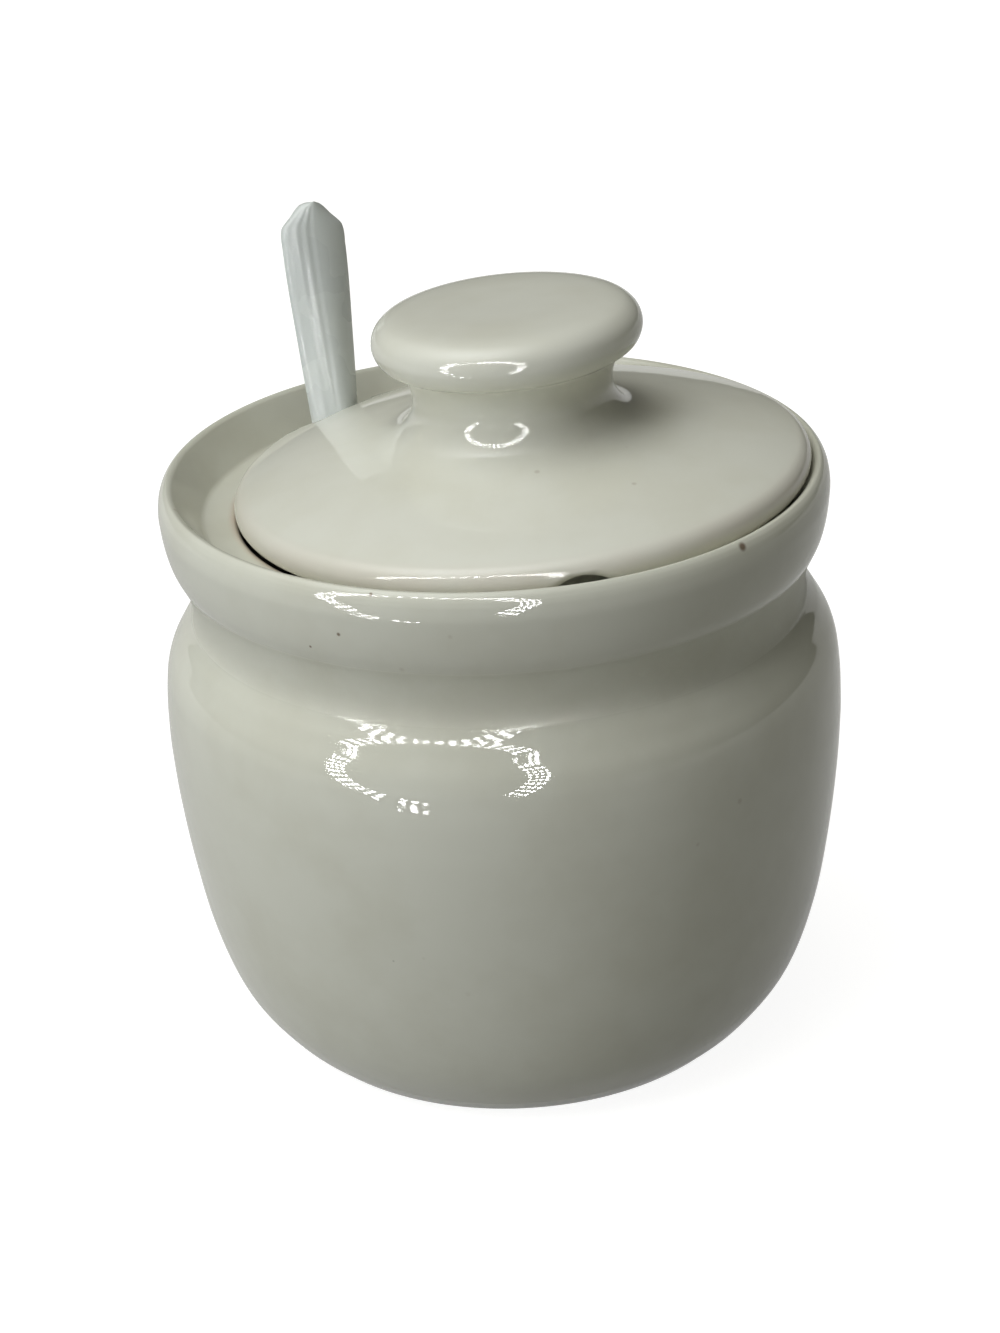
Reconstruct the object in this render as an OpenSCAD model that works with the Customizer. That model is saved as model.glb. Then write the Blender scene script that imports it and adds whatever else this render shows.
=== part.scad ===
// Stoneware jam pot with a loose knobbed lid and a teaspoon standing in it.
// Units are millimetres. The pot stands on z = 0 with its axis on the origin.
// The lid is drawn as it lies in use: pushed to one side by the spoon's handle,
// low over the ledge on that side and riding up on the rim on the other.

/* [Pot] */
// Largest diameter of the belly
belly_d = 105.2; // [98:0.1:130]
// Height from the table to the top of the rim
pot_h = 92.9; // [86:0.1:120]
// Outer diameter of the rim
rim_d = 101.6; // [98:0.1:112]
// Outer diameter of the neck, where the pot is drawn in under the rim
neck_d = 91.8; // [89:0.1:95]
// Height of the flared rim above the neck's crease
rim_h = 19.6; // [17:0.1:23]
// Rounding in the neck's crease
neck_round = 0.9; // [0.6:0.1:2]
// Outer diameter of the foot
foot_d = 70.4; // [60:0.5:76]
// Wall thickness of the belly
wall_t = 5.2; // [4:0.1:7]
// Thickness of the floor at the axis
floor_t = 6; // [4.5:0.1:9]
// Width of the ring that the pot stands on
foot_w = 5; // [3.5:0.1:8]
// Depth of the hollow inside the foot ring
foot_hollow = 1.8; // [1:0.1:3]

/* [Gallery] */
// Rounding of the rim's crest on its inner side
crest_r = 1.2; // [0.8:0.1:1.6]
// How far the top of the crest stands in from the rim's widest place
crest_in = 1.5; // [1.3:0.1:2]
// Height of the crest above the ledge that carries the lid
ledge_drop = 6; // [5:0.1:7.5]
// Slope of the rim's inner face above the horizontal, in degrees
slope_a = 54; // [50:1:58]
// Width of the ledge
ledge_w = 5.4; // [4.5:0.1:6]
// Rounding of the ledge's inner lip
lip_r = 1.2; // [0.8:0.1:1.8]
// Height of the straight throat below the lip
throat_h = 6; // [3:0.5:8]

/* [Lid] */
// Thickness of the lid's rounded edge
edge_t = 5.2; // [4.4:0.1:6]
// Play left round the edge when the lid lies centred in the gallery
lid_play = 3.6; // [3.2:0.1:4]
// Height of the lid's top face at the stem above the middle of the edge
dome_h = 7.4; // [6:0.1:9]
// Height of the hollow under the lid's middle, above the middle of the edge
hollow_h = 1.8; // [0.5:0.1:2.5]
// Diameter of the knob
knob_d = 40.4; // [34:0.2:46]
// Thickness of the knob's disc
knob_t = 8.8; // [7:0.1:11]
// Height of the knob's top above the middle of the edge
knob_h = 26.6; // [24:0.1:32]
// Diameter of the stem at its narrowest
stem_d = 30.2; // [26:0.2:32]
// Depth of the locating ring below the middle of the edge
ring_h = 6.9; // [5:0.1:8]
// Width of the locating ring
ring_w = 4; // [3:0.1:6]
// How far the lid leans where it rides up on the rim, in degrees
lid_lean = 3.2; // [2.6:0.1:3.8]
// Compass direction in which the lid is pushed, in degrees
push_a = -12; // [-20:1:0]
// Direction of the small arched nick in the lid's edge, in degrees
nick_a = -80.5; // [-100:0.5:-60]
// Width of the nick
nick_w = 10.8; // [7:0.1:12]
// Height of the nick above the edge's underside
nick_h = 3; // [2:0.1:3.4]

/* [Spoon] */
// Length of the spoon
spoon_l = 121; // [116:0.5:140]
// Width of the handle near its end
handle_w = 11.8; // [10.5:0.1:12.5]
// Width of the handle where it passes the ledge
grip_w = 7.6; // [6.8:0.1:8.8]
// Thickness of the handle's middle
handle_t = 2.2; // [1.8:0.1:2.6]
// Height of the rounded ridge along the handle's face
ridge_h = 1.2; // [0.6:0.1:1.5]
// Length of the gable that ends the handle
gable_l = 4.6; // [3:0.1:7]
// Length of the bowl
bowl_l = 40; // [34:0.5:46]
// Width of the bowl
bowl_w = 26; // [22:0.5:30]
// Depth of the bowl
bowl_h = 6; // [4:0.1:8]
// Wall thickness of the bowl
bowl_t = 1.5; // [1.2:0.1:2]
// Width of the spoon's neck behind the bowl
shank_w = 6; // [5:0.1:7]
// Direction from the pot's axis to the handle, in degrees
spoon_a = 132; // [125:0.5:140]
// How far the handle leans back, in degrees
lean_back = 16.7; // [10:0.1:20]
// How far the handle leans to the left, in degrees
lean_left = 3.5; // [0:0.1:6]
// How far the handle's face is turned to the right, in degrees
face_a = 30; // [20:1:40]

/* [Fits] */
// Clearance between pieces where they rest on each other
seat_gap = 0.3; // [0.2:0.05:0.5]
// Clearance between the locating ring and the throat when the lid is pushed over
ring_gap = 0.6; // [0.4:0.1:1]
// Clearance between the handle and the lid's notch
notch_gap = 0.7; // [0.5:0.1:1.2]

/* [Hidden] */
$fn = 96;
// Overrun that takes every cut clear of the surface it leaves
over = 2;
// Steps between two chosen points of a smooth outline
steps = 5;
// Steps in a rounded corner
arc_steps = 8;

// Curve through chosen points: each stretch is a cubic whose end slopes follow
// the neighbouring points, spaced by the distances between the points.
function span(a, b) = norm(b - a);
function slope_at(p, i) =
    i == 0 ? (p[1] - p[0]) / span(p[0], p[1])
    : i == len(p) - 1 ? (p[i] - p[i - 1]) / span(p[i - 1], p[i])
    : (p[i + 1] - p[i - 1]) / (span(p[i - 1], p[i]) + span(p[i], p[i + 1]));
function cubic(a, b, ma, mb, t) =
    (2 * pow(t, 3) - 3 * pow(t, 2) + 1) * a + (pow(t, 3) - 2 * pow(t, 2) + t) * ma
    + (3 * pow(t, 2) - 2 * pow(t, 3)) * b + (pow(t, 3) - pow(t, 2)) * mb;
function smooth(p, n) = concat(
    [for (i = [0 : len(p) - 2], j = [0 : n - 1])
        cubic(p[i], p[i + 1], slope_at(p, i) * span(p[i], p[i + 1]),
              slope_at(p, i + 1) * span(p[i], p[i + 1]), j / n)],
    [p[len(p) - 1]]);
// Rounded corner about a centre, from one angle to another.
function corner(c, r, a0, a1) =
    [for (i = [0 : arc_steps]) let (a = a0 + (a1 - a0) * i / arc_steps)
        c + r * [cos(a), sin(a)]];

belly_r = belly_d / 2;
rim_r = rim_d / 2;
neck_r = neck_d / 2;
foot_r = foot_d / 2;
foot_round = foot_w / 8;
neck_h = pot_h - rim_h;
ledge_z = pot_h - ledge_drop;

// Belly from the foot up and shoulder up to the neck: heights as shares of neck_h,
// radii as shares of the way from the foot to the belly, then from the neck to it.
belly_shares = [[0.023, 0.20], [0.073, 0.40], [0.159, 0.63], [0.289, 0.80],
                [0.432, 0.903], [0.578, 0.971], [0.70, 1]];
shoulder_shares = [[0.765, 0.994], [0.80, 0.978], [0.832, 0.943], [0.865, 0.883],
                   [0.897, 0.762], [0.930, 0.557], [0.962, 0.293], [0.984, 0.09]];
// Rim from the neck to the crest: heights as shares of the way up, radii as
// shares of the way from the neck to the rim.
rim_shares = [[0.10, 0], [0.178, 0.06], [0.271, 0.37], [0.364, 0.624], [0.457, 0.788],
              [0.551, 0.887], [0.644, 0.948], [0.737, 0.986], [0.815, 1]];
// Outer side of the crest: heights as before, radii as shares of crest_in.
crest_shares = [[0.898, 0.853], [0.939, 0.673], [0.964, 0.50], [0.979, 0.36],
                [0.99, 0.22], [0.997, 0.10]];

// Crest of the rim and the sloped face inside it.
crest_c = [rim_r - crest_in, pot_h - crest_r];
slope_top = crest_c + crest_r * [-sin(slope_a), cos(slope_a)];
ledge_r = slope_top[0] - (slope_top[1] - ledge_z) / tan(slope_a);
throat_r = ledge_r - ledge_w;
lip_c = [throat_r + lip_r, ledge_z - lip_r];
// The angle where slope and ledge meet is filled with a small rounding.
cove_r = lip_r;
cove_c = [ledge_r - cove_r * tan(slope_a / 2), ledge_z + cove_r];

body_points = concat(
    [for (s = belly_shares) [foot_r + s[1] * (belly_r - foot_r), s[0] * neck_h]],
    [for (s = shoulder_shares) [neck_r + s[1] * (belly_r - neck_r), s[0] * neck_h]]);
rim_points = concat(
    [[neck_r, neck_h + neck_round]],
    [for (s = rim_shares)
        [neck_r + s[1] * (rim_r - neck_r), neck_h + s[0] * rim_h]],
    [for (s = crest_shares)
        [crest_c[0] + s[1] * crest_in, neck_h + s[0] * rim_h]],
    [[crest_c[0], pot_h]]);
// The crease is a small curve from the shoulder's last point to the rim's first,
// drawn towards the neck's corner.
shoulder_end = body_points[len(body_points) - 1];
crease = [for (i = [1 : arc_steps - 1]) let (t = i / arc_steps)
    pow(1 - t, 2) * shoulder_end + 2 * t * (1 - t) * [neck_r, neck_h]
    + pow(t, 2) * rim_points[0]];

// Inside of the belly: a wall's thickness in from the outside, drawn up to the
// throat above and rounded into the floor below.
throat_z = lip_c[1] - throat_h;
floor_shares = [[0.80, 0.42], [0.62, 0.20], [0.36, 0.05]];
// Under the throat the inside widens: the first number is a share of the way out,
// the second a share of the height under the throat.
widen_share = [0.42, 0.87];
full_share = 0.95;
inside_r = belly_r - wall_t;
inside_low = [foot_r + belly_shares[3][1] * (belly_r - foot_r) - wall_t,
              belly_shares[3][0] * neck_h];
inner_points = concat(
    [[throat_r, throat_z]],
    [[throat_r + widen_share[0] * (inside_r - throat_r), widen_share[1] * throat_z]],
    [[throat_r + full_share * (inside_r - throat_r),
      shoulder_shares[3][0] * neck_h - wall_t]],
    [[inside_r, belly_shares[6][0] * neck_h]],
    [[belly_shares[4][1] * (belly_r - foot_r) + foot_r - wall_t,
      belly_shares[4][0] * neck_h]],
    [inside_low],
    [for (s = floor_shares)
        [s[0] * inside_low[0], floor_t + s[1] * (inside_low[1] - floor_t)]],
    [[0, floor_t]]);

pot_outline = concat(
    [[0, foot_hollow], [foot_r - foot_w - foot_hollow, foot_hollow]],
    corner([foot_r - foot_w + foot_round, foot_round], foot_round, 180, 270),
    corner([foot_r - foot_round, foot_round], foot_round, 270, 350),
    smooth(body_points, steps),
    crease,
    smooth(rim_points, steps),
    [for (i = [1 : arc_steps]) crest_c + crest_r * [-sin(slope_a * i / arc_steps),
                                                   cos(slope_a * i / arc_steps)]],
    corner(cove_c, cove_r, slope_a - 90, -90),
    corner(lip_c, lip_r, 90, 180),
    smooth(inner_points, steps));

module pot() {
    color([0.85, 0.84, 0.79])
    rotate_extrude()
        polygon(pot_outline);
}

edge_r = edge_t / 2;
// The edge is widest at half its thickness, where the sloped face gives it room.
lid_r = ledge_r + edge_r / tan(slope_a) - lid_play + edge_r * (1 - cos(slope_a));
edge_c = lid_r - edge_r;
// The low side bears on the lip this share of the way out to the throat's edge.
bear_share = 0.48;
lean_rise = seat_gap + edge_r * cos(lid_lean) + bear_share * throat_r * sin(lid_lean);
// How far the lid is pushed over: until its edge lies on the sloped face.
push = (ledge_r - edge_c * cos(lid_lean)
        + ((lean_rise + edge_c * sin(lid_lean)) * cos(slope_a) - edge_r - seat_gap)
          / sin(slope_a))
       / (1 - sin(lid_lean) / tan(slope_a));
lid_z = ledge_z + lean_rise + push * sin(lid_lean);
lid_c = push * [cos(push_a), sin(push_a)];

// Locating ring: it meets the throat when the lid is pushed all the way over.
ring_r = throat_r - push - ring_gap;
ring_round = ring_w / 5;

stem_r = stem_d / 2;
knob_r = knob_d / 2;
knob_c = knob_h - knob_t / 2;
// The edge's rounding runs up to this angle, and the dome goes on from it: shares of
// the way in and of the way up to the stem.
edge_turn = 70;
dome_low = [edge_c + edge_r * cos(edge_turn), edge_r * sin(edge_turn)];
dome_shares = [[0.08, 0.123], [0.20, 0.29], [0.42, 0.546], [0.64, 0.749], [0.82, 0.884]];
// Stem from the dome to the knob, as shares of the way up; the second number is
// the stem's flare, as a share of the stem's radius.
stem_shares = [[0.02, 0.34], [0.16, 0.14], [0.42, 0.02], [0.68, 0], [0.92, 0.05]];
// Half outline of the knob: radius and height as shares of its own.
knob_shares = [[0.84, -0.84], [0.955, -0.52], [1, -0.03], [0.97, 0.48],
               [0.87, 0.83], [0.64, 0.97], [0.32, 1]];

dome_r = stem_r * (1 + stem_shares[0][1]);
stem_base = dome_h;
stem_top = knob_c - knob_t / 2;
top_points = concat(
    [dome_low],
    [for (s = dome_shares)
        [dome_low[0] + s[0] * (dome_r - dome_low[0]),
         dome_low[1] + s[1] * (dome_h - dome_low[1])]],
    [for (s = stem_shares)
        [stem_r * (1 + s[1]), stem_base + s[0] * (stem_top - stem_base)]],
    [for (s = knob_shares) [s[0] * knob_r, knob_c + s[1] * knob_t / 2]],
    [[0, knob_h]]);
// Hollow under the lid, as shares of the ring's radius and of the way down.
hollow_shares = [[0, 0], [0.33, 0.06], [0.62, 0.35]];
under_points = concat(
    [for (s = hollow_shares) [s[0] * ring_r, hollow_h - s[1] * (hollow_h + edge_r)]],
    [[ring_r - ring_w - ring_round, -edge_r]]);
lid_outline = concat(
    smooth(under_points, steps),
    corner([ring_r - ring_w + ring_round, ring_round - ring_h], ring_round, 180, 270),
    corner([ring_r - ring_round, ring_round - ring_h], ring_round, 270, 360),
    [[ring_r, -edge_r]],
    corner([edge_c, 0], edge_r, -90, edge_turn - 90 / arc_steps),
    smooth(top_points, steps));

// The handle's section thins to this share of its thickness at its edges.
edge_share = 0.55;
// Notch for the spoon's handle. It follows the handle's place in the gallery.
back_turn = spoon_a - 90 - face_a;
handle_half = [cos(back_turn), sin(back_turn)] * [edge_share * handle_t / 2, grip_w / 2];
handle_r = throat_r - handle_half - seat_gap
           - pow(grip_w * cos(back_turn) / 2, 2) / (2 * throat_r);
handle_p = handle_r * [cos(spoon_a), sin(spoon_a)];
notch_v = handle_p - lid_c;
notch_a = atan2(notch_v[1], notch_v[0]);
notch_turn = notch_a - 90 - face_a;
notch_in = norm(notch_v) - notch_gap
           - max(cos(notch_turn) * handle_t / 2 + abs(sin(notch_turn)) * grip_w / 2,
                 handle_t / 2 + ridge_h);
// The notch is flat over the inner width and eases out to the edge over the outer one.
flat_share = 0.58;
wide_share = 2.3;
notch_flat = asin(flat_share * grip_w / notch_in);
notch_wide = wide_share * notch_flat;
function ease(a) =
    abs(a) < notch_flat ? 1
    : abs(a) > notch_wide ? 0
    : (1 + cos(180 * (abs(a) - notch_flat) / (notch_wide - notch_flat))) / 2;
notch_steps = 36;
notch_cut = concat(
    [for (i = [0 : notch_steps])
        let (a = notch_wide * (2 * i / notch_steps - 1),
             r = lid_r + edge_r / arc_steps - ease(a) * (lid_r - notch_in))
        r * [cos(notch_a + a), sin(notch_a + a)]],
    [for (a = [notch_wide, -notch_wide])
        (lid_r + over) / cos(notch_wide) * [cos(notch_a + a), sin(notch_a + a)]]);

// Nick: a round arch cut into the edge from below.
nick_r = (pow(nick_w / 2, 2) + pow(nick_h, 2)) / (2 * nick_h);

module lid() {
    color([0.86, 0.85, 0.80])
    translate([lid_c[0], lid_c[1], lid_z])
    rotate([0, 0, push_a])
    rotate([0, -lid_lean, 0])
    rotate([0, 0, -push_a])
    difference() {
        rotate_extrude()
            polygon(lid_outline);
        translate([0, 0, -edge_t])
            linear_extrude(2 * edge_t + over)
            polygon(notch_cut);
        rotate([0, 0, nick_a])
            translate([ring_r + edge_r, 0, nick_h - nick_r - edge_r])
            rotate([0, 90, 0])
            cylinder(r = nick_r, h = lid_r - ring_r + over);
    }
}

// Places along the spoon are shares of its length from the bowl's tip.
bowl_share = bowl_l / spoon_l;
gable_share = 1 - gable_l / spoon_l;
grip_share = 0.66;
// Bowl and shank: places as shares of the bowl's length, half widths as shares of the
// bowl's width, depths as shares of its depth.
bowl_shares = [[0.03, 0.143], [0.14, 0.31], [0.34, 0.46], [0.55, 0.5], [0.78, 0.41], [1, 0.20]];
dish_shares = [[0, 0], [0.12, 0.42], [0.34, 0.88], [0.55, 1], [0.78, 0.72], [1, 0.20], [1.14, 0]];
shank_shares = [1.14, 1.2, 1.45];
// Gable: places as shares of its length, half widths as shares of the handle's.
gable_shares = [[-0.5, 1], [0, 0.985], [0.15, 0.93], [0.35, 0.75], [0.6, 0.51], [0.8, 0.34],
                [0.93, 0.20], [1, 0.08]];
// Ridge: places along the spoon and shares of the ridge's height.
ridge_shares = [[0.54, 0.6], [0.91, 1], [1, 0.75]];
// The shank is thicker than the handle, and bows back by a share of the bowl's depth.
thick_share = 1.25;
bow_share = 0.1;

// Half width, thickness, dish, ridge and bow at chosen places, smoothed between.
tip_half = bowl_w / 14;
half_points = concat(
    [[0, tip_half]],
    [for (s = bowl_shares) [s[0] * bowl_share, s[1] * bowl_w]],
    [for (i = [0, 2]) [shank_shares[i] * bowl_share, shank_w / 2]],
    [[grip_share, grip_w / 2]],
    [for (s = gable_shares) [gable_share + s[0] * (1 - gable_share), s[1] * handle_w / 2]]);
thick_points = [
    [0, bowl_t], [bowl_share, bowl_t], [shank_shares[1] * bowl_share, thick_share * handle_t],
    [ridge_shares[0][0], handle_t], [1, handle_t]];
dish_points = concat([for (s = dish_shares) [s[0] * bowl_share, s[1] * bowl_h]], [[1, 0]]);
ridge_points = concat(
    [[0, 0], [shank_shares[0] * bowl_share, 0]],
    [for (s = ridge_shares) [s[0], s[1] * ridge_h]]);
bow_points = [
    [0, 0], [bowl_share, 0], [shank_shares[1] * bowl_share, -bow_share * bowl_h],
    [grip_share, 0], [1, 0]];

half_list = smooth(half_points, steps);
thick_list = smooth(thick_points, steps);
dish_list = smooth(dish_points, steps);
ridge_list = smooth(ridge_points, steps);
bow_list = smooth(bow_points, steps);

bowl_rings = 18;
shaft_rings = 20;
gable_rings = 10;
stations = concat(
    [for (i = [0 : bowl_rings - 1]) bowl_share * (1 - cos(90 * i / bowl_rings))],
    [for (i = [0 : shaft_rings - 1])
        bowl_share + (gable_share - bowl_share) * i / shaft_rings],
    [for (i = [0 : gable_rings]) gable_share + (1 - gable_share) * i / gable_rings]);
// Points across one side of a section.
side_points = 10;
function fullness(u) = edge_share + (1 - edge_share) * sqrt(max(0, 1 - u * u));
function ring_points(s) =
    let (w = lookup(s, half_list), t = lookup(s, thick_list) / 2,
         d = lookup(s, dish_list), g = lookup(s, ridge_list), b = lookup(s, bow_list))
    concat(
        [for (i = [0 : side_points]) let (u = -cos(180 * i / side_points))
            [w * u, -(b + t * fullness(u) + g * (1 - u * u) - d * (1 - u * u)),
             s * spoon_l]],
        [for (i = [0 : side_points]) let (u = cos(180 * i / side_points))
            [w * u, -(b - t * fullness(u) - d * (1 - u * u)), s * spoon_l]]);
ring_n = 2 * (side_points + 1);
spoon_points = [for (s = stations) each ring_points(s)];
spoon_faces = concat(
    [for (k = [0 : len(stations) - 2], i = [0 : ring_n - 1])
        let (a = k * ring_n + i, b = k * ring_n + (i + 1) % ring_n)
        each [[a, a + ring_n, b], [b, a + ring_n, b + ring_n]]],
    [[for (i = [0 : ring_n - 1]) i]],
    [[for (i = [ring_n - 1 : -1 : 0]) (len(stations) - 1) * ring_n + i]]);

// The handle passes the throat at handle_p, level with the ledge, and the bowl's
// tip stands just clear of the floor, which rises a little away from the axis.
handle_dir = [-sin(lean_left) * cos(lean_back), sin(lean_back),
              cos(lean_left) * cos(lean_back)];
function handle_at(z) =
    [handle_p[0], handle_p[1], ledge_z] - handle_dir * (ledge_z - z) / handle_dir[2];
floor_list = smooth([for (i = [1 : len(floor_shares) + 1]) inner_points[len(inner_points) - i]],
                    steps);
tip_low = handle_at(floor_t + bowl_t);
tip_z = lookup(norm([tip_low[0], tip_low[1]]), floor_list) + seat_gap
        + tip_half * sin(lean_back);
tip_p = handle_at(tip_z);

module spoon() {
    color([0.93, 0.94, 0.93])
    translate(tip_p)
    rotate([-lean_back, -lean_left, 0])
    rotate([0, 0, face_a])
    polyhedron(points = spoon_points, faces = spoon_faces, convexity = 6);
}

pot();
lid();
spoon();
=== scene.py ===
# %% [markdown]
# # A stoneware jam pot
# This lesson dresses a thrown jam pot with a loose lid and a plastic spoon. The three
# solids come from a CAD model and lie in their places already. Blender's share is what
# CAD can't give: the glaze, the plastic's fine grooves, the light and the camera.

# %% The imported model
import bmesh
import bpy
import numpy as np
from mathutils import Matrix, Vector


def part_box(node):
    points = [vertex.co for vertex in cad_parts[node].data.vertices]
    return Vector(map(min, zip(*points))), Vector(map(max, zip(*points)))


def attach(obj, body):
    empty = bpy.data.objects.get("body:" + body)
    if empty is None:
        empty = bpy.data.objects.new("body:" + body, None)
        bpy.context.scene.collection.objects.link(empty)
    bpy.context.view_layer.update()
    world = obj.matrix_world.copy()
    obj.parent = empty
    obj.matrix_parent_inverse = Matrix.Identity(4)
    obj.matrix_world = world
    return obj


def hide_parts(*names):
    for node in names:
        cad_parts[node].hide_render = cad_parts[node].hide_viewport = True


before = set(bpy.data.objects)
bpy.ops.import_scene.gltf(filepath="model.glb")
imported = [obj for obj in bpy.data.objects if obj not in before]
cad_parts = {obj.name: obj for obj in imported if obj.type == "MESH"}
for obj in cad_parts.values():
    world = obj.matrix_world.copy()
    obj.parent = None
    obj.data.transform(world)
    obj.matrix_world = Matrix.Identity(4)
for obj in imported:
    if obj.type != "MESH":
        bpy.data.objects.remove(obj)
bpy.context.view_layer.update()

MM_IN_METRE = 1000
scene = bpy.context.scene
pot, lid, spoon = (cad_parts[name] for name in ("pot", "lid", "spoon"))
for part in (pot, lid, spoon):
    top = [round(v, 4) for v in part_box(part.name)[1]]
    print(part.name, len(part.data.polygons), "faces, top corner", top)

# %% [markdown]
# ## The camera
# The picture looks down on the pot from a little above its rim, slightly rolled. One
# could place a camera by eye. Here its place and lens were worked out from the pot's
# outline instead, so they are plain numbers, and the turns are done with small vectors.

# %% Where the camera stands
# Places are in metres and turns in radians. The focal length is in pixels of a picture
# that is IMAGE_H pixels high.
IMAGE_H, FOCAL_PX = 1333, 2671
SENSOR_MM, NEAREST = 36, 0.01
CAMERA_AT = np.array([0.0, -0.3779, 0.2392])
AIM_AT = np.array([0.0, 0.0, 0.0476])
PAN, TILT, ROLL = -0.00115, 0.02256, -0.05255


def turned(a, b, angle):
    """Two directions turned together in their own plane: each is its cosine of itself
    and a sine of the other."""
    return a * np.cos(angle) + b * np.sin(angle), b * np.cos(angle) - a * np.sin(angle)


def unit(v):
    """A direction: the vector divided by its length."""
    v = np.asarray(v, float)
    return v / np.linalg.norm(v)


def camera_axes():
    """Right, up and forward: look at the aim point, then pan, tilt and roll."""
    forward = unit(AIM_AT - CAMERA_AT)
    right = unit(np.cross(forward, [0, 0, 1]))
    up = np.cross(right, forward)
    forward, right = turned(forward, right, PAN)
    forward, up = turned(forward, up, TILT)
    right, up = turned(right, up, ROLL)
    return right, up, forward


# %% The camera itself
right, up, forward = camera_axes()
camera = bpy.data.objects.new("camera", bpy.data.cameras.new("camera"))
camera.data.sensor_width = SENSOR_MM
camera.data.lens = FOCAL_PX * SENSOR_MM / IMAGE_H
camera.data.clip_start = NEAREST
axes = Matrix(np.column_stack([right, up, -forward]).tolist())
camera.matrix_world = Matrix.Translation(CAMERA_AT) @ axes.to_4x4()
scene.collection.objects.link(camera)
scene.camera = camera
scene.view_settings.view_transform = "Standard"
print("lens", round(camera.data.lens, 1), "mm")

# %% [markdown]
# ## Helpers for node materials
# A finish is a small graph of nodes. Writing it by hand means the same three moves over
# and over: make a node, set its inputs, link it. These helpers do just that.

# %% Node helpers
def new_material(name):
    """A material with nodes, and its Principled shader."""
    material = bpy.data.materials.new(name)
    material.use_nodes = True
    return material, material.node_tree.nodes["Principled BSDF"]


def put(tree, kind, inputs=None, **properties):
    """A node of a kind, with its properties set, and each input given a value or, where
    a socket is given, a link."""
    node = tree.nodes.new(kind)
    for key, value in properties.items():
        setattr(node, key, value)
    for key, value in (inputs or {}).items():
        if isinstance(value, bpy.types.NodeSocket):
            tree.links.new(value, node.inputs[key])
        else:
            node.inputs[key].default_value = value
    return node


def math(tree, operation, a, b=0.0, c=0.0):
    """The output of one Math node."""
    return put(tree, "ShaderNodeMath", {0: a, 1: b, 2: c}, operation=operation).outputs[0]


def distance(tree, a, b):
    """How far place a is from place b."""
    return put(tree, "ShaderNodeVectorMath", {0: a, 1: b}, operation="DISTANCE").outputs["Value"]


def noise(tree, place, scale, detail, **inputs):
    """The value of a Noise texture, with that many waves to the metre."""
    inputs = {"Vector": place, "Scale": scale, "Detail": detail, **inputs}
    return put(tree, "ShaderNodeTexNoise", inputs).outputs[0]


def ramp(tree, value, low, high, to_low=0.0, to_high=1.0):
    """A value spread smoothly from one range to another."""
    node = put(tree, "ShaderNodeMapRange", {"Value": value, "From Min": low, "From Max": high,
               "To Min": to_low, "To Max": to_high}, interpolation_type="SMOOTHSTEP")
    return node.outputs["Result"]


def blend_colour(tree, share, a, b):
    """Colour a where the share is 0 and b where it is 1. A Mix node keeps its colours
    in inputs 6 and 7 and puts their mixture out at 2."""
    return put(tree, "ShaderNodeMix", {0: share, 6: a, 7: b}, data_type="RGBA").outputs[2]


def new_group(name, inputs, outputs):
    """A node group with named sockets: (name, kind, value) for each input."""
    group = bpy.data.node_groups.new(name, "ShaderNodeTree")
    for label, kind, value in inputs:
        socket = group.interface.new_socket(label, in_out="INPUT", socket_type=kind)
        if value is not None:
            socket.default_value = value
    for label, kind in outputs:
        group.interface.new_socket(label, in_out="OUTPUT", socket_type=kind)
    return group, group.nodes.new("NodeGroupInput"), group.nodes.new("NodeGroupOutput")


FLOAT, COLOUR, VECTOR = "NodeSocketFloat", "NodeSocketColor", "NodeSocketVector"

# %% [markdown]
# ## The glaze
# A white glaze over grey stoneware is never one flat colour. It clouds a little where
# it lies thicker, carries pale brown freckles and a few black pits from the clay, and
# its surface has a faint orange peel that breaks up highlights. A painted image could
# show all that, but noise textures need no image and cover every side. Both the pot
# and the lid need the effect, so it is one node group that gives colours and heights.

# %% The glaze's clouds, freckles and pits
# Scales are in cells to the metre. A fade is the way from a cell's middle at which its
# mark begins and at which it is full. A choice is the span of the cells' own random
# numbers over which they come to hold a mark.
CLOUD_SCALE, FRECKLE_SCALE, PIT_SCALE, PEEL_SCALE, SWELL_SCALE = 55.0, 150.0, 105.0, 420.0, 120.0
CLOUD_SPAN, ROUGH_SPAN, ROUGHNESS = (0.35, 0.72), (0.3, 0.8), (0.035, 0.06)
FRECKLE_FADE, FRECKLE_CHOICE, FRECKLE_MOST = (0.09, 0.03), (0.80, 1.0), 0.35
PIT_FADE, PIT_CHOICE, PIT_MOST, PIT_DEPTH = (0.042, 0.022), (0.955, 0.96), 0.85, 2.5
PIT_BLACK = (0.03, 0.027, 0.02, 1)
SWELL_HEIGHT, PEEL_HEIGHT = 0.8, 0.5


def cells(group, place, scale):
    """The distance to the middle of each Voronoi cell, and the cell's random colour."""
    node = put(group, "ShaderNodeTexVoronoi", {"Vector": place, "Scale": scale, "Randomness": 1.0})
    return node.outputs["Distance"], put(group, "ShaderNodeSeparateColor", {"Color": node.outputs["Color"]})


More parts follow.
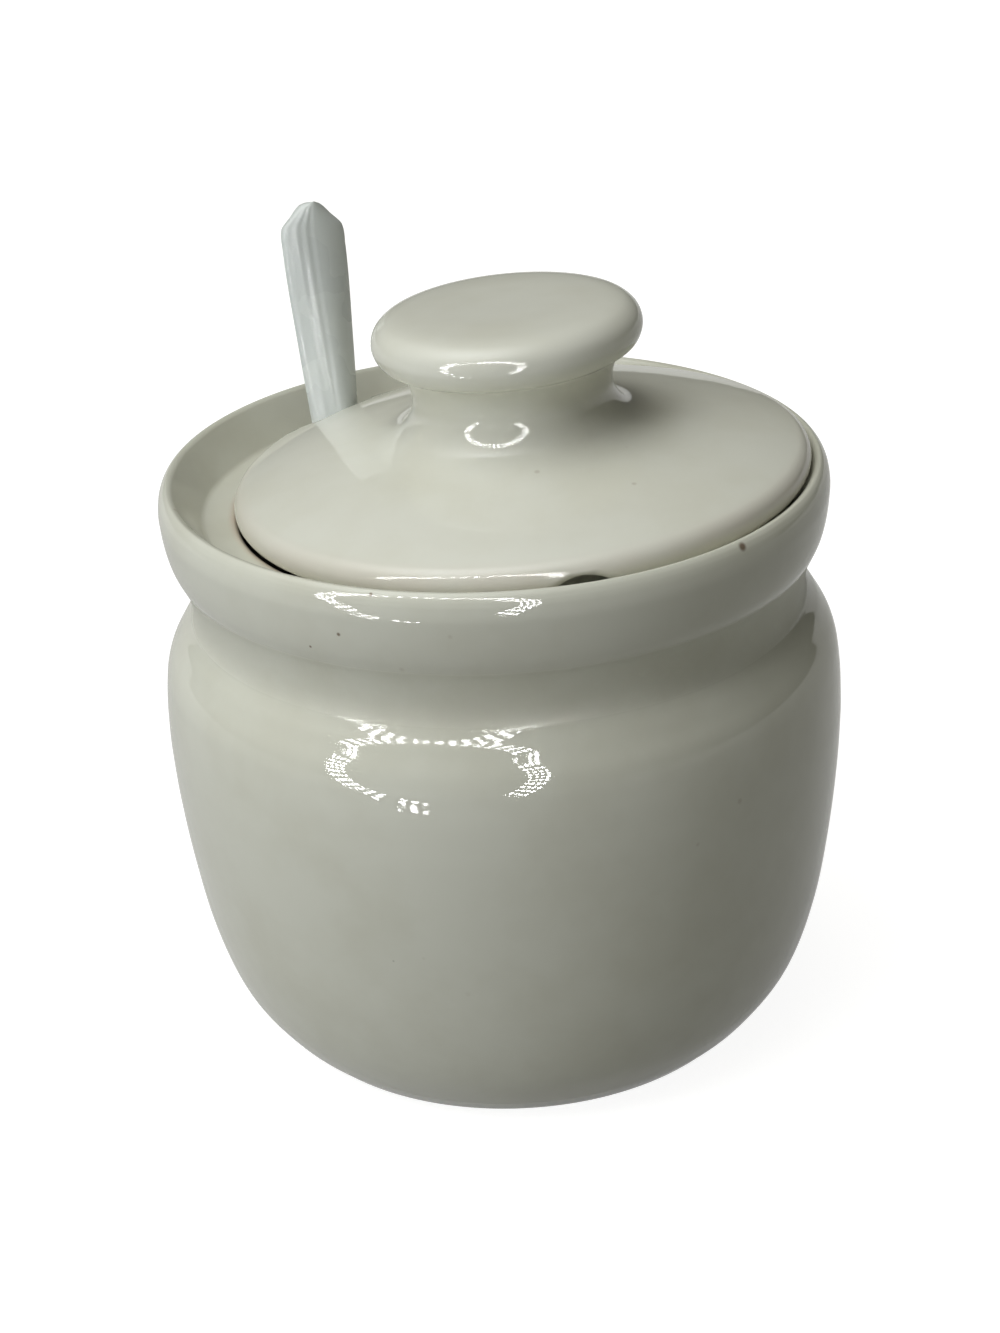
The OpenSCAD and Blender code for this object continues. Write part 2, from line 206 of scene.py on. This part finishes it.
group, enter, leave = new_group("glaze_cover", [
    ("Place", VECTOR, None), ("Colour", COLOUR, (0.8, 0.8, 0.8, 1)), ("Cloud", COLOUR, (0.7, 0.7, 0.7, 1)),
    ("Freckle", COLOUR, (0.4, 0.3, 0.2, 1))],
    [("Colour", COLOUR), ("Height", FLOAT), ("Roughness", FLOAT)])
place = enter.outputs["Place"]
clouds = noise(group, place, CLOUD_SCALE, 4.0, Roughness=0.55)
clear, cloudy = enter.outputs["Colour"], enter.outputs["Cloud"]
colour = blend_colour(group, ramp(group, clouds, *CLOUD_SPAN), clear, cloudy)
gap, chance = cells(group, place, FRECKLE_SCALE)
freckle = math(group, "MULTIPLY", ramp(group, gap, *FRECKLE_FADE),
               ramp(group, chance.outputs[0], *FRECKLE_CHOICE, 0.0, FRECKLE_MOST))
colour = blend_colour(group, freckle, colour, enter.outputs["Freckle"])
gap, chance = cells(group, place, PIT_SCALE)
pit = math(group, "MULTIPLY", ramp(group, gap, *PIT_FADE), ramp(group, chance.outputs[1], *PIT_CHOICE))
colour = blend_colour(group, math(group, "MULTIPLY", pit, PIT_MOST), colour, PIT_BLACK)
peel = math(group, "MULTIPLY", noise(group, place, PEEL_SCALE, 1.5, Roughness=0.5), PEEL_HEIGHT)
height = math(group, "MULTIPLY_ADD", noise(group, place, SWELL_SCALE, 1.0), SWELL_HEIGHT, peel)
height = math(group, "MULTIPLY_ADD", pit, -PIT_DEPTH, height)
group.links.new(colour, leave.inputs["Colour"])
group.links.new(height, leave.inputs["Height"])
group.links.new(ramp(group, clouds, *ROUGH_SPAN, *ROUGHNESS), leave.inputs["Roughness"])
glaze_cover = group


# %% A soft ring-shaped mask about a piece's own axis
BAND_FADE = (1.0, 0.2)
group, enter, leave = new_group("band_mask", [
    ("Place", VECTOR, None), ("Radius", FLOAT, 0.05), ("Height", FLOAT, 0.09), ("Width", FLOAT, 0.002)],
    [("Mask", FLOAT)])
xyz = put(group, "ShaderNodeSeparateXYZ", {0: enter.outputs["Place"]})


def hypotenuse(group, a, b):
    """The square root of two squares' sum."""
    return math(group, "SQRT", math(group, "MULTIPLY_ADD", a, a, math(group, "MULTIPLY", b, b)))


across = hypotenuse(group, xyz.outputs[0], xyz.outputs[1])
away = hypotenuse(group, math(group, "SUBTRACT", across, enter.outputs["Radius"]),
                  math(group, "SUBTRACT", xyz.outputs[2], enter.outputs["Height"]))
near = math(group, "DIVIDE", away, enter.outputs["Width"])
group.links.new(ramp(group, near, *BAND_FADE), leave.inputs["Mask"])
band_mask = group


# %% One fired piece's glaze
FRECKLE_BROWN, SPOT_BROWN = (0.33, 0.27, 0.19, 1), (0.12, 0.06, 0.02, 1)
RAGGED_SCALE, RAGGED_SPAN, RAGGED_LEAST = 90.0, (0.35, 0.65), 0.5
SPOT_CORE, SPOT_MOST = 0.3, 0.8
DULL_RISE = 4.0
GLAZE_IOR, PEEL_STRENGTH, PEEL_DISTANCE = 1.45, 0.06, 0.0002


def ring_mask(tree, own, radius, height, width):
    """How far a place lies inside the ring of that radius, height and width."""
    inputs = {"Place": own, "Radius": radius, "Height": height, "Width": width}
    return put(tree, "ShaderNodeGroup", inputs, node_tree=band_mask).outputs[0]


def glaze(name, colour, cloud, centre, turn, bands, spots, dull=()):
    """Glaze for one fired piece. Each band is a ring where the glaze runs thin over an
    edge: radius, height, width, colour, share. Each spot is an iron speck: place, size.
    Each dull ring is where the glaze shines less: radius, height, width, roughness.
    Rings lie about the piece's own axis, which centre and turn give."""
    material, skin = new_material(name)
    tree = material.node_tree
    where = tree.nodes.new("ShaderNodeTexCoord").outputs["Object"]
    cover = put(tree, "ShaderNodeGroup", {"Place": where, "Colour": colour, "Cloud": cloud,
                "Freckle": FRECKLE_BROWN}, node_tree=glaze_cover)
    own = put(tree, "ShaderNodeMapping", {"Vector": where, "Location": centre, "Rotation": turn},
              vector_type="TEXTURE").outputs[0]
    paint, rough = cover.outputs["Colour"], cover.outputs["Roughness"]
    ragged = noise(tree, where, RAGGED_SCALE, 3.0)
    for radius, height, width, tint, share in bands:
        wear = ramp(tree, ragged, *RAGGED_SPAN, RAGGED_LEAST * share, share)
        wear = math(tree, "MULTIPLY", ring_mask(tree, own, radius, height, width), wear)
        paint = blend_colour(tree, wear, paint, tint)
    for spot, size in spots:
        mark = ramp(tree, distance(tree, where, spot), size, SPOT_CORE * size, 0.0, SPOT_MOST)
        paint = blend_colour(tree, mark, paint, SPOT_BROWN)
    for radius, height, width, most in dull:
        rise = math(tree, "MULTIPLY", ring_mask(tree, own, radius, height, width), DULL_RISE * most)
        rough = math(tree, "MAXIMUM", rough, math(tree, "MINIMUM", rise, most))
    bump = put(tree, "ShaderNodeBump", {"Height": cover.outputs["Height"], "Strength": PEEL_STRENGTH,
               "Distance": PEEL_DISTANCE})
    tree.links.new(paint, skin.inputs["Base Color"])
    tree.links.new(rough, skin.inputs["Roughness"])
    tree.links.new(bump.outputs[0], skin.inputs["Normal"])
    skin.inputs["IOR"].default_value = GLAZE_IOR
    return material


# %% The pot's and the lid's glaze
# The lid leans: it lies pushed to one side in the rim, so its rings turn with it.
PINK, BLUSH = (0.58, 0.47, 0.38, 1), (0.68, 0.63, 0.55, 1)
POT_WHITE, POT_CLOUD = (0.645, 0.65, 0.56, 1), (0.60, 0.60, 0.505, 1)
LID_WHITE, LID_CLOUD = (0.71, 0.715, 0.63, 1), (0.675, 0.675, 0.58, 1)
POT_BANDS, THROAT_DULL = [(0.0393, 0.0864, 0.0016, PINK, 0.9)], [(0.0472, 0.0762, 0.0058, 0.5)]
LID_BANDS = [(0.0428, 0.0, 0.0036, BLUSH, 0.6)]
POT_SPOTS = [((0.0341, -0.0366, 0.0922), 0.0009), ((-0.0174, -0.0467, 0.0924), 0.0004),
             ((-0.0223, -0.0454, 0.0861), 0.0004), ((-0.0265, -0.0424, 0.0831), 0.0003)]
UPRIGHT, POT_AT, LID_AT = (0, 0, 0), (0, 0, 0), (0.00433, -0.00092, 0.09109)
LEAN, PUSH = np.radians(3.2), np.radians(-12)
lid_turn = Matrix.Rotation(PUSH, 4, "Z") @ Matrix.Rotation(-LEAN, 4, "Y") @ Matrix.Rotation(-PUSH, 4, "Z")
pot_glaze = glaze("pot_glaze", POT_WHITE, POT_CLOUD, POT_AT, UPRIGHT, POT_BANDS, POT_SPOTS, THROAT_DULL)
lid_glaze = glaze("lid_glaze", LID_WHITE, LID_CLOUD, LID_AT, tuple(lid_turn.to_euler()), LID_BANDS, [])
for part, material in ((pot, pot_glaze), (lid, lid_glaze)):
    part.data.materials.clear()
    part.data.materials.append(material)
    print(material.name, "has", len(material.node_tree.nodes), "nodes")

# %% [markdown]
# ## The pot's skin
# A thrown pot is one turned line: foot, belly, throat, flared rim, and the ledge inside
# it that carries the lid. The solid has all of it, but its crease under the rim is up to
# 1.4 mm deeper than the picture shows, and a gloss shows its flat faces. A modifier
# would smooth the faces and leave the crease. So the skin is turned anew on the same
# axis, from an outline that keeps within 0.1 mm of the solid's, except from 69 to 79 mm
# up, where it runs through the softer throat of the picture.

# %% A smooth line and a closed mesh
SKIN_SHARP = np.radians(50)


def cubic(t, a, b, leaving, arriving):
    """The cubic from a to b with these slopes at its ends, for t from 0 to 1."""
    first_half = (1 + 2 * t) * (1 - t) ** 2 * a + t * (1 - t) ** 2 * leaving
    return first_half + t * t * (3 - 2 * t) * b - t * t * (1 - t) * arriving


def smooth_line(points, steps):
    """Points on a curve through the given ones. Each stretch is a cubic, and the slope
    at a point is that of the line between its two neighbours, over the length between
    them, or at an end that of the line to its only neighbour."""
    p = np.array(points, float)
    far = np.concatenate([[0], np.cumsum(np.linalg.norm(np.diff(p, axis=0), axis=1))])[:, None]
    step = np.diff(far, axis=0)
    middle = (p[2:] - p[:-2]) / (far[2:] - far[:-2])
    slope = np.vstack([(p[1] - p[0]) / step[0], middle, (p[-1] - p[-2]) / step[-1]])
    t = (np.arange(steps) / steps)[None, :, None]
    stretches = (p[:-1], p[1:], slope[:-1] * step, slope[1:] * step)
    line = cubic(t, *(q[:, None, :] for q in stretches))
    return np.vstack([line.reshape(-1, 2), p[-1:]])


def arc(centre, radius, start, end, steps=8):
    """Points of a rounded corner: the centre plus the radius times cosine and sine."""
    turn = np.radians(np.linspace(start, end, steps + 1))
    return np.array(centre) + radius * np.stack([np.cos(turn), np.sin(turn)], -1)


def closed_tube(name, points):
    """A mesh from a grid of rings, with a fan of triangles over each end. Its faces
    point outwards where the rings run anticlockwise, seen from the last one."""
    rings, around = points.shape[:2]
    index = np.arange(rings * around).reshape(rings, around)
    nxt = np.roll(index, -1, axis=1)
    quads = np.stack([index[:-1], nxt[:-1], nxt[1:], index[1:]], -1).reshape(-1, 4).tolist()
    first, last = rings * around, rings * around + 1
    fans = np.vstack([np.stack([np.full(around, first), nxt[0], index[0]], -1),
                      np.stack([np.full(around, last), index[-1], nxt[-1]], -1)]).tolist()
    ends = [points[0].mean(0).tolist(), points[-1].mean(0).tolist()]
    mesh = bpy.data.meshes.new(name)
    mesh.from_pydata(points.reshape(-1, 3).tolist() + ends, [], quads + fans)
    mesh.polygons.foreach_set("use_smooth", np.ones(len(mesh.polygons), bool))
    mesh.set_sharp_from_angle(angle=SKIN_SHARP)
    return mesh


# %% The skin's outline, radius and height in millimetres
belly = [(38.68, 1.69), (42.16, 5.35), (46.16, 11.65), (49.12, 21.18), (50.91, 31.67), (52.10, 42.37),
         (52.60, 51.31), (52.56, 56.07), (52.45, 58.64), (52.22, 60.99), (51.86, 63.40), (51.08, 65.75),
         (49.71, 68.17)]
throat = [(49.06, 69.2), (48.30, 70.2), (47.80, 70.9), (47.42, 71.5), (47.16, 72.3), (47.06, 73.2),
          (47.08, 74.2), (47.22, 75.3), (47.44, 76.4), (47.73, 77.5), (48.06, 78.5), (48.47, 79.5),
          (48.94, 80.43)]
rim = [(49.76, 82.26), (50.25, 84.1), (50.55, 85.92), (50.73, 87.75), (50.8, 89.27), (50.58, 90.9),
       (50.31, 91.7), (50.05, 92.19), (49.84, 92.49), (49.63, 92.7), (49.45, 92.84), (49.3, 92.9)]
inside = [(38.93, 79.7), (42.49, 69.34), (46.98, 58.2), (47.4, 51.31), (45.71, 31.67), (43.92, 21.18),
          (35.14, 12.38), (27.23, 9.04), (15.81, 6.76), (0, 6)]
SLOPE, CURVE_STEPS = 54, 6
FOOT_ROUND, RIM_ROUND = 0.625, 1.2
hollow = [(28.4, 1.8)]
foot_inside = arc((30.825, 0.625), FOOT_ROUND, 180, 270)
foot_outside = arc((34.575, 0.625), FOOT_ROUND, 270, 350)
outside = smooth_line(belly + throat + rim, CURVE_STEPS)
crest = arc((49.3, 91.7), RIM_ROUND, 90, 90 + SLOPE)[1:]
ledge = arc((43.72, 88.1), RIM_ROUND, SLOPE - 90, -90)
lip = arc((40.13, 85.7), RIM_ROUND, 90, 180)
down_to_axis = smooth_line(inside, CURVE_STEPS)[:-1]
outline = np.vstack([hollow, foot_inside, foot_outside, outside, crest, ledge, lip, down_to_axis])

# %% The skin itself
SKIN_AROUND = 288
turn = np.arange(SKIN_AROUND) * 2 * np.pi / SKIN_AROUND
radius, height = outline[:, :1] / MM_IN_METRE, outline[:, 1:] / MM_IN_METRE
skin_points = np.stack([radius * np.cos(turn), radius * np.sin(turn), height + 0 * turn], -1)
pot_skin = bpy.data.objects.new("pot_skin", closed_tube("pot_skin", skin_points))
scene.collection.objects.link(pot_skin)
pot_skin.data.materials.append(pot_glaze)
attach(pot_skin, "pot")
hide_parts("pot")
wide = round(2 * outline[:, 0].max(), 1)
print("the skin has", len(pot_skin.data.polygons), "faces and is", wide, "mm wide")

# %% [markdown]
# The lid's shape is right as it is, notch and nick included, but its solid is made of
# narrow bands, and a gloss shows each of them. Its skin is a copy of the solid whose
# corners are joined and whose shading runs on smoothly, except over real edges.

# %% The lid's skin
WELD_DISTANCE, LID_SHARP = 0.000005, np.radians(38)
lid_skin = bpy.data.objects.new("lid_skin", lid.data.copy())
weld = bmesh.new()
weld.from_mesh(lid_skin.data)
bmesh.ops.remove_doubles(weld, verts=weld.verts, dist=WELD_DISTANCE)
weld.to_mesh(lid_skin.data)
weld.free()
lid_skin.data.polygons.foreach_set("use_smooth", np.ones(len(lid_skin.data.polygons), bool))
lid_skin.data.set_sharp_from_angle(angle=LID_SHARP)
scene.collection.objects.link(lid_skin)
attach(lid_skin, "lid")
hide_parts("lid")
print("welding takes the lid from", len(lid.data.vertices), "points to", len(lid_skin.data.vertices))

# %% [markdown]
# ## The spoon
# The handle of the real spoon is a rounded bar that ends in a gable with a rounded tip.
# Three fine grooves run down the left half of its face. The CAD solid has the bar but
# no grooves, and too few faces to carve them into. A displacement map could fake them;
# here the whole spoon is worked out anew as a surface, one closed section after another
# along the spoon's length, so the grooves are real and fade out where they should.

# %% Smooth curves through chosen points
def smooth_curve(points):
    """A function through (place, value) pairs: a cubic between each two of them, with
    numpy's gradient of the values as the slopes at its ends."""
    at, value = np.array(points, float).T
    slope = np.gradient(value, at)

    def curve(s):
        i = np.clip(np.searchsorted(at, s, side="right") - 1, 0, len(at) - 2)
        step = at[i + 1] - at[i]
        return cubic((s - at[i]) / step, value[i], value[i + 1], step * slope[i], step * slope[i + 1])
    return curve


# %% The spoon's measures, in millimetres from the tip of its bowl
SPOON_L = 120.5
half_width = smooth_curve([
    (0, 1.86), (1.2, 3.72), (5.6, 8.06), (13.6, 11.96), (22, 13), (31.2, 10.66), (40, 5.2), (45.6, 3),
    (58, 3), (79.9, 3.65), (98, 4.75), (113.5, 5.4), (115.9, 5.36), (116.8, 5.1), (117.6, 4.35),
    (118.5, 3.35), (119.3, 2.6), (119.9, 1.95), (120.3, 1.25), (120.5, 0.5)])
thickness = smooth_curve([(0, 1.5), (40, 1.5), (48, 2.75), (65.3, 2.2), (121, 2.2)])
dish = smooth_curve([
    (0, 0), (4.8, 2.52), (13.6, 5.28), (22, 6), (31.2, 4.32), (40, 1.2), (45.6, 0), (121, 0)])
crown = smooth_curve([(0, 0), (45.6, 0), (65.3, 0.6), (110.1, 0.95), (121, 0.7)])
bow = smooth_curve([(0, 0), (40, 0), (48, -0.6), (79.9, 0), (121, 0)])
EDGE_POWER = 0.4
GROOVE_DEEP, GROOVE_PITCH, GROOVES_FROM, GROOVES_TO = 0.07, 0.28, -0.93, -0.09
GROOVE_START, GROOVE_FADE_IN, GROOVE_FADE_OUT = 62, 12, 2.5
SPOON_AT = np.array([-19.994, 3.907, 8.2466])
LEAN_BACK, LEAN_LEFT, FACE_TURN = np.radians([16.7, 3.5, 30.0])
SPOON_STATIONS, SPOON_AROUND = 220, 144


def spoon_surface(stations, around):
    """A grid of points: place along the spoon by turn round the section. Across, a
    section is the half width times the turn's cosine. Its thickness is a power of the
    sine, so the edges are round and the faces flat. The face adds the crown and loses
    the grooves; the whole section sinks by the dish, and all fade to the edges as one
    less the square of the way across. The face looks towards the front, so the turn is
    counted backwards to keep the rings anticlockwise."""
    s = 0.5 * SPOON_L * (1 - np.cos(np.pi * np.linspace(0, 1, stations)))[:, None]
    turn = -(np.arange(around) * 2 * np.pi / around)[None, :]
    u, side = np.cos(turn), np.sin(turn)
    face = side > 0
    slab = 0.5 * thickness(s) * np.sign(side) * np.abs(side) ** EDGE_POWER
    wave = (u - GROOVES_FROM) / GROOVE_PITCH
    carve = np.where((u > GROOVES_FROM) & (u < GROOVES_TO), 0.5 - 0.5 * np.cos(2 * np.pi * wave), 0.0)
    fade_in = np.clip((s - GROOVE_START) / GROOVE_FADE_IN, 0, 1)
    fade_out = np.clip((SPOON_L - s) / GROOVE_FADE_OUT, 0, 1)
    carve = GROOVE_DEEP * carve * fade_in * fade_out
    front = bow(s) + slab + face * (crown(s) * (1 - u * u) - carve) - dish(s) * (1 - u * u)
    return np.stack(np.broadcast_arrays(half_width(s) * u, -front, s), -1)


# %% The spoon's mesh
def axis_turn(axis, angle):
    """The matrix of a turn about one of the axes."""
    return np.array(Matrix.Rotation(angle, 3, axis))


stand = axis_turn("Y", -LEAN_LEFT) @ axis_turn("X", -LEAN_BACK) @ axis_turn("Z", FACE_TURN)
surface = (spoon_surface(SPOON_STATIONS, SPOON_AROUND) @ stand.T + SPOON_AT) / MM_IN_METRE
teaspoon = bpy.data.objects.new("teaspoon", closed_tube("teaspoon", surface))
scene.collection.objects.link(teaspoon)
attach(teaspoon, "spoon")
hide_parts("spoon")
reach = np.array([surface.min((0, 1)), surface.max((0, 1))])
off = np.abs(reach - np.array(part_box("spoon"))).max() * MM_IN_METRE
print("the spoon's corners differ from its solid's by up to", off.round(2), "mm")

# %% [markdown]
# The plastic is cool white and half glossy. Moulded plastic is never quite even, so its
# gloss wanders a little and a faint ripple breaks its reflections.

# %% White plastic
DRIFT_SCALE, DRIFT_SPAN, PLASTIC_ROUGHNESS = 140.0, (0.3, 0.7), (0.22, 0.32)
COOL_WHITE, PALE_WHITE = (0.66, 0.70, 0.68, 1), (0.70, 0.74, 0.71, 1)
RIPPLE_STRENGTH, RIPPLE_DISTANCE = 0.08, 0.0002
plastic, shell = new_material("white_plastic")
tree = plastic.node_tree
where = tree.nodes.new("ShaderNodeTexCoord").outputs["Object"]
drift = noise(tree, where, DRIFT_SCALE, 2.0)
tone = blend_colour(tree, ramp(tree, drift, *DRIFT_SPAN), COOL_WHITE, PALE_WHITE)
ripple = put(tree, "ShaderNodeBump", {"Height": drift, "Strength": RIPPLE_STRENGTH,
             "Distance": RIPPLE_DISTANCE})
tree.links.new(tone, shell.inputs["Base Color"])
tree.links.new(ramp(tree, drift, *DRIFT_SPAN, *PLASTIC_ROUGHNESS), shell.inputs["Roughness"])
tree.links.new(ripple.outputs[0], shell.inputs["Normal"])
teaspoon.data.materials.append(plastic)
spoon.data.materials.clear()
spoon.data.materials.append(plastic)

# %% [markdown]
# ## The floor
# The pot stands on plain white. A floor lit brightly enough to look white would throw
# too much light back on the pot, so the floor is mid grey to the light that bounces.
# Rays straight from the camera or through glass see white added to it, and rays from a
# gloss see two fifths of that white. Its shadow stays.

# %% Floor
FLOOR_HALF, FLOOR_GREY = 4.0, (0.30, 0.30, 0.28, 1)
FLOOR_WHITE, SEEN_IN_GLOSS = 0.92, 0.4
floor_mesh = bpy.data.meshes.new("floor")
corners = FLOOR_HALF * np.array([[-1, -1, 0], [1, -1, 0], [1, 1, 0], [-1, 1, 0]])
floor_mesh.from_pydata(corners.tolist(), [], [(0, 1, 2, 3)])
floor = bpy.data.objects.new("floor", floor_mesh)
scene.collection.objects.link(floor)
floor_paint, paint = new_material("pale_floor")
tree = floor_paint.node_tree
paint.inputs["Base Color"].default_value = FLOOR_GREY
paint.inputs["Roughness"].default_value = 1.0
paint.inputs["Specular IOR Level"].default_value = 0.0
paint.inputs["Emission Color"].default_value = (1, 1, 1, 1)
rays = tree.nodes.new("ShaderNodeLightPath").outputs
dimmed = math(tree, "MULTIPLY", rays["Is Glossy Ray"], SEEN_IN_GLOSS)
clearly = math(tree, "MAXIMUM", rays["Is Camera Ray"], rays["Is Transmission Ray"])
seen = math(tree, "MAXIMUM", clearly, dimmed)
tree.links.new(math(tree, "MULTIPLY", seen, FLOOR_WHITE), paint.inputs["Emission Strength"])
floor_mesh.materials.append(floor_paint)

# %% [markdown]
# ## The light
# Most of the light is soft and comes from the upper left: a sky whose brightness falls
# off smoothly away from that side. It has no edge, so the glaze shows no window. Rays
# straight from the camera see it white, like the floor, so no horizon shows.

# %% Soft sky
KEY_FROM = unit([-0.352, -0.128, 0.927])
SKY_FALL, SKY_MOST, SKY_LEAST = 10.0, 3.9, 0.08
SKY_FAR, SKY_KEY, WHITE = (1.0, 0.98, 0.90, 1), (0.98, 1.0, 1.01, 1), (1, 1, 1, 1)
sky = bpy.data.worlds.new("sky")
scene.world = sky
sky.use_nodes = True
tree = sky.node_tree
tree.nodes.clear()
towards = tree.nodes.new("ShaderNodeTexCoord").outputs["Generated"]
facing = put(tree, "ShaderNodeVectorMath", {0: towards, 1: tuple(KEY_FROM)}, operation="DOT_PRODUCT")
glow = math(tree, "POWER", math(tree, "MAXIMUM", facing.outputs["Value"], 0.0), SKY_FALL)
straight = tree.nodes.new("ShaderNodeLightPath").outputs["Is Camera Ray"]
tint = blend_colour(tree, straight, blend_colour(tree, glow, SKY_FAR, SKY_KEY), WHITE)
level = math(tree, "MAXIMUM", math(tree, "MULTIPLY_ADD", glow, SKY_MOST, SKY_LEAST), straight)
background = put(tree, "ShaderNodeBackground", {"Color": tint, "Strength": level})
out = tree.nodes.new("ShaderNodeOutputWorld")
tree.links.new(background.outputs[0], out.inputs["Surface"])

# %% [markdown]
# A ring lamp with rows of small diodes stands round the camera, and its picture in the
# glaze is what makes the shoulder look wet: a dotted C and a thin bracket. A lamp of
# many dots is slow to sample, so the dots are a flat ring that only glosses see, and
# eight plain round lamps on its left side give its soft light. The ring's lowest part
# would lie under the table, so it is drawn in halfway to the pot's shoulder, from where
# it looks the same.

# %% Ring lamp
RING_FROM, RING_AIM, RING_AWAY = unit([-0.377, -0.889, 0.259]), np.array([0.0, 0.0, 0.065]), 0.42
RING_IN, RING_OUT = 0.22, 0.29
ring_centre = RING_AIM + RING_AWAY * RING_FROM
ring_side = unit(np.cross([0, 0, 1], RING_FROM))
ring_rise = np.cross(RING_FROM, ring_side)


def ring_place(radius, turn):
    """Points of the ring: the centre, plus the radius times the cosine of the turn to
    the side and its sine upwards."""
    radius, turn = (q[..., None] for q in np.broadcast_arrays(radius, turn))
    return ring_centre + radius * (np.cos(turn) * ring_side + np.sin(turn) * ring_rise)


def grid_mesh(name, points, uv):
    """A mesh of quads from a rows by columns array of points, with a UV map of the
    same shape."""
    index = np.arange(points[..., 0].size).reshape(points.shape[:2])
    quads = np.stack([index[:-1, :-1], index[:-1, 1:], index[1:, 1:], index[1:, :-1]], -1)
    mesh = bpy.data.meshes.new(name)
    mesh.from_pydata(points.reshape(-1, 3).tolist(), [], quads.reshape(-1, 4).tolist())
    corner = np.empty(len(mesh.loops), np.int32)
    mesh.loops.foreach_get("vertex_index", corner)
    mesh.uv_layers.new(name="UVMap").data.foreach_set("uv", uv.reshape(-1, 2)[corner].ravel())
    return mesh


# %% The ring's lit stretches
# Each is a start and an end in degrees, and the share of its distance from the pot's
# shoulder that it keeps.
LAMP_ARCS = [(113, 222, 1.0), (-40, 109, 1.0), (222, 241, 0.5), (246, 267, 0.5)]
SHOULDER = np.array([-0.012, -0.048, 0.064])
DIODE_ROWS, DIODES_ROUND, ARC_POINTS = 4, 48, 65
DIODE_FADE, DIODE_STRENGTH, CELL_MIDDLE = (0.34, 0.22), 58.0, (0.5, 0.5, 0.0)
NOT_SEEN_BY = ("camera", "diffuse", "shadow", "transmission", "volume_scatter")


def lamp_arc(name, start, end, near):
    """One lit stretch of the ring. Its UV map counts diodes round and across."""
    turn, radius = np.meshgrid(np.radians(np.linspace(start, end, ARC_POINTS)), [RING_IN, RING_OUT])
    across = (radius - RING_IN) / (RING_OUT - RING_IN)
    uv = np.stack([turn / (2 * np.pi) * DIODES_ROUND, across * DIODE_ROWS], -1)
    points = SHOULDER + near * (ring_place(radius, turn) - SHOULDER)
    lit_arc = bpy.data.objects.new(name, grid_mesh(name, points, uv))
    scene.collection.objects.link(lit_arc)
    for ray in NOT_SEEN_BY:
        setattr(lit_arc, "visible_" + ray, False)
    return lit_arc


diodes, plain = new_material("diodes")
tree = diodes.node_tree
tree.nodes.remove(plain)
spread = tree.nodes.new("ShaderNodeUVMap").outputs[0]
cell = put(tree, "ShaderNodeVectorMath", {0: spread}, operation="FRACTION").outputs[0]
lit = ramp(tree, distance(tree, cell, CELL_MIDDLE), *DIODE_FADE)
shine = put(tree, "ShaderNodeEmission", {"Strength": math(tree, "MULTIPLY", lit, DIODE_STRENGTH)})
tree.links.new(shine.outputs[0], tree.nodes["Material Output"].inputs["Surface"])
diodes.cycles.emission_sampling = "NONE"
for number, stretch in enumerate(LAMP_ARCS):
    lamp_arc("lamp_arc_%d" % number, *stretch).data.materials.append(diodes)
print(len(LAMP_ARCS), "lit stretches,", DIODE_ROWS, "rows of", DIODES_ROUND, "diodes to a full turn")

# %% The ring's soft light
SOFT_TURNS, SOFT_RADIUS = np.radians(np.linspace(95, 215, 8)), 0.245
SOFT_SIZE, SOFT_WATTS, SOFT_COLOUR = 0.08, 0.100, (0.97, 1.0, 1.07)
SOFT_AIM = np.array([0, 0, 0.05])
for number, turn in enumerate(SOFT_TURNS):
    lamp = bpy.data.lights.new("soft_%02d" % number, "AREA")
    lamp.shape = "DISK"
    lamp.size = SOFT_SIZE
    lamp.energy = SOFT_WATTS
    lamp.color = SOFT_COLOUR
    thing = bpy.data.objects.new(lamp.name, lamp)
    place = ring_place(SOFT_RADIUS, turn)
    facing = Vector(SOFT_AIM - place).to_track_quat("-Z", "Y")
    thing.matrix_world = Matrix.Translation(place) @ facing.to_matrix().to_4x4()
    thing.visible_glossy = False
    scene.collection.objects.link(thing)
